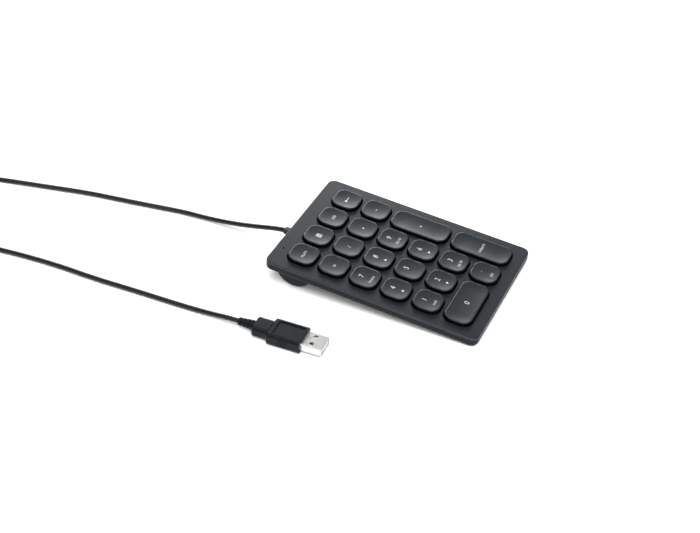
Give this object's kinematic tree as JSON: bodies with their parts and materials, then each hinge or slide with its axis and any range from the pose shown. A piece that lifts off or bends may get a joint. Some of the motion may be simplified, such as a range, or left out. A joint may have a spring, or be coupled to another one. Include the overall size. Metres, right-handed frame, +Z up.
{
  "type": "numeric keypad",
  "caption": "Low-profile USB numeric keypad with dished keys, a round foot bar under the cable edge, and its lead and plug on the desk.",
  "frame": {"origin": "on the desk, under the middle of the keypad's case, without its lead", "axes": "+Y towards the cable edge, +X to the user's right, +Z up from the desk"},
  "size_m": [0.137, 0.3545, 0.0168],
  "materials": {
    "deck": "fine satin texture",
    "housing": "fine satin texture",
    "keycap": "soft-touch satin",
    "wire": "drawn wire",
    "plate": "rolled sheet",
    "film": "clear polyester film",
    "dome": "moulded silicone",
    "board": "green laminate",
    "chips": "moulded packages",
    "clamp": "as moulded",
    "lamp": "diffused lamp",
    "lens": "smoked clear plastic",
    "screw": "zinc plated",
    "foot": "matt rubber",
    "gland": "soft vinyl",
    "cord": "matt vinyl",
    "plug": "fine satin moulding",
    "shell": "nickel plate",
    "tongue": "white moulding",
    "contact": "gold flash"
  },
  "bodies": {
    "root": {"top_cover": "deck", "bottom_housing": "housing", "support_plate": "plate", "membrane_lower": "film", "membrane_spacer": "film", "membrane_upper": "film", "dome_mat": "dome", "controller_board": "board", "board_parts": "chips", "tail_clamp": "clamp", "indicator_led": "lamp", "indicator_lens": "lens", "cable_gland": "gland", "case_screws": "screw", "board_screws": "screw", "front_feet": "foot", "rear_pads": "foot", "cord_keypad_run": "cord", "cord_coil": "cord", "cord_plug_run": "cord", "plug_grip": "plug", "plug_shell": "shell", "plug_tongue": "tongue", "plug_contacts": "contact"},
    "key_num": {"key_num": "keycap"},
    "key_calculator": {"key_calculator": "keycap"},
    "key_tab": {"key_tab": "keycap"},
    "key_backspace": {"key_backspace": "keycap"},
    "key_equals": {"key_equals": "keycap"},
    "key_divide": {"key_divide": "keycap"},
    "key_multiply": {"key_multiply": "keycap"},
    "key_minus": {"key_minus": "keycap"},
    "key_7": {"key_7": "keycap"},
    "key_8": {"key_8": "keycap"},
    "key_9": {"key_9": "keycap"},
    "key_plus": {"key_plus": "keycap"},
    "key_4": {"key_4": "keycap"},
    "key_5": {"key_5": "keycap"},
    "key_6": {"key_6": "keycap"},
    "key_1": {"key_1": "keycap"},
    "key_2": {"key_2": "keycap"},
    "key_3": {"key_3": "keycap"},
    "key_return": {"key_return": "keycap"},
    "key_0": {"key_0": "keycap"},
    "key_decimal": {"key_decimal": "keycap"},
    "wire_plus": {"wire_plus": "wire"},
    "wire_return": {"wire_return": "wire"},
    "wire_0": {"wire_0": "wire"}
  },
  "joints": [
    {"name": "press_num", "type": "slide", "parent": "root", "child": "key_num", "axis": [0, 0.0793, -0.9969], "range_m": [0, 0.0015], "stiffness_N_per_m": 250, "springref_m": -0.001, "deforming": ["dome_mat"]},
    {"name": "press_calculator", "type": "slide", "parent": "root", "child": "key_calculator", "axis": [0, 0.0793, -0.9969], "range_m": [0, 0.0015], "stiffness_N_per_m": 250, "springref_m": -0.001, "deforming": ["dome_mat"]},
    {"name": "press_tab", "type": "slide", "parent": "root", "child": "key_tab", "axis": [0, 0.0793, -0.9969], "range_m": [0, 0.0015], "stiffness_N_per_m": 250, "springref_m": -0.001, "deforming": ["dome_mat"]},
    {"name": "press_backspace", "type": "slide", "parent": "root", "child": "key_backspace", "axis": [0, 0.0793, -0.9969], "range_m": [0, 0.0015], "stiffness_N_per_m": 250, "springref_m": -0.001, "deforming": ["dome_mat"]},
    {"name": "press_equals", "type": "slide", "parent": "root", "child": "key_equals", "axis": [0, 0.0793, -0.9969], "range_m": [0, 0.0015], "stiffness_N_per_m": 250, "springref_m": -0.001, "deforming": ["dome_mat"]},
    {"name": "press_divide", "type": "slide", "parent": "root", "child": "key_divide", "axis": [0, 0.0793, -0.9969], "range_m": [0, 0.0015], "stiffness_N_per_m": 250, "springref_m": -0.001, "deforming": ["dome_mat"]},
    {"name": "press_multiply", "type": "slide", "parent": "root", "child": "key_multiply", "axis": [0, 0.0793, -0.9969], "range_m": [0, 0.0015], "stiffness_N_per_m": 250, "springref_m": -0.001, "deforming": ["dome_mat"]},
    {"name": "press_minus", "type": "slide", "parent": "root", "child": "key_minus", "axis": [0, 0.0793, -0.9969], "range_m": [0, 0.0015], "stiffness_N_per_m": 250, "springref_m": -0.001, "deforming": ["dome_mat"]},
    {"name": "press_7", "type": "slide", "parent": "root", "child": "key_7", "axis": [0, 0.0793, -0.9969], "range_m": [0, 0.0015], "stiffness_N_per_m": 250, "springref_m": -0.001, "deforming": ["dome_mat"]},
    {"name": "press_8", "type": "slide", "parent": "root", "child": "key_8", "axis": [0, 0.0793, -0.9969], "range_m": [0, 0.0015], "stiffness_N_per_m": 250, "springref_m": -0.001, "deforming": ["dome_mat"]},
    {"name": "press_9", "type": "slide", "parent": "root", "child": "key_9", "axis": [0, 0.0793, -0.9969], "range_m": [0, 0.0015], "stiffness_N_per_m": 250, "springref_m": -0.001, "deforming": ["dome_mat"]},
    {"name": "press_plus", "type": "slide", "parent": "root", "child": "key_plus", "axis": [0, 0.0793, -0.9969], "range_m": [0, 0.0015], "stiffness_N_per_m": 250, "springref_m": -0.001, "deforming": ["dome_mat"]},
    {"name": "press_4", "type": "slide", "parent": "root", "child": "key_4", "axis": [0, 0.0793, -0.9969], "range_m": [0, 0.0015], "stiffness_N_per_m": 250, "springref_m": -0.001, "deforming": ["dome_mat"]},
    {"name": "press_5", "type": "slide", "parent": "root", "child": "key_5", "axis": [0, 0.0793, -0.9969], "range_m": [0, 0.0015], "stiffness_N_per_m": 250, "springref_m": -0.001, "deforming": ["dome_mat"]},
    {"name": "press_6", "type": "slide", "parent": "root", "child": "key_6", "axis": [0, 0.0793, -0.9969], "range_m": [0, 0.0015], "stiffness_N_per_m": 250, "springref_m": -0.001, "deforming": ["dome_mat"]},
    {"name": "press_1", "type": "slide", "parent": "root", "child": "key_1", "axis": [0, 0.0793, -0.9969], "range_m": [0, 0.0015], "stiffness_N_per_m": 250, "springref_m": -0.001, "deforming": ["dome_mat"]},
    {"name": "press_2", "type": "slide", "parent": "root", "child": "key_2", "axis": [0, 0.0793, -0.9969], "range_m": [0, 0.0015], "stiffness_N_per_m": 250, "springref_m": -0.001, "deforming": ["dome_mat"]},
    {"name": "press_3", "type": "slide", "parent": "root", "child": "key_3", "axis": [0, 0.0793, -0.9969], "range_m": [0, 0.0015], "stiffness_N_per_m": 250, "springref_m": -0.001, "deforming": ["dome_mat"]},
    {"name": "press_return", "type": "slide", "parent": "root", "child": "key_return", "axis": [0, 0.0793, -0.9969], "range_m": [0, 0.0015], "stiffness_N_per_m": 250, "springref_m": -0.001, "deforming": ["dome_mat"]},
    {"name": "press_0", "type": "slide", "parent": "root", "child": "key_0", "axis": [0, 0.0793, -0.9969], "range_m": [0, 0.0015], "stiffness_N_per_m": 250, "springref_m": -0.001, "deforming": ["dome_mat"]},
    {"name": "press_decimal", "type": "slide", "parent": "root", "child": "key_decimal", "axis": [0, 0.0793, -0.9969], "range_m": [0, 0.0015], "stiffness_N_per_m": 250, "springref_m": -0.001, "deforming": ["dome_mat"]},
    {"name": "swing_wire_plus", "type": "hinge", "parent": "key_plus", "child": "wire_plus", "pos_m": [0.0348, -0.0012, 0.01026], "axis": [0, 0.9969, 0.0793], "range_deg": [-0.5, 12.87]},
    {"name": "swing_wire_return", "type": "hinge", "parent": "key_return", "child": "wire_return", "pos_m": [0.0348, -0.03908, 0.00725], "axis": [0, 0.9969, 0.0793], "range_deg": [-0.5, 12.87]},
    {"name": "swing_wire_0", "type": "hinge", "parent": "key_0", "child": "wire_0", "pos_m": [-0.019, -0.04227, 0.007], "axis": [-1, 0, 0], "range_deg": [-0.5, 12.87]}
  ],
  "couplings": [
    {"joint": "swing_wire_plus", "follows": "press_plus", "rad_per_m": 143.97},
    {"joint": "swing_wire_return", "follows": "press_return", "rad_per_m": 143.97},
    {"joint": "swing_wire_0", "follows": "press_0", "rad_per_m": 143.97}
  ]
}
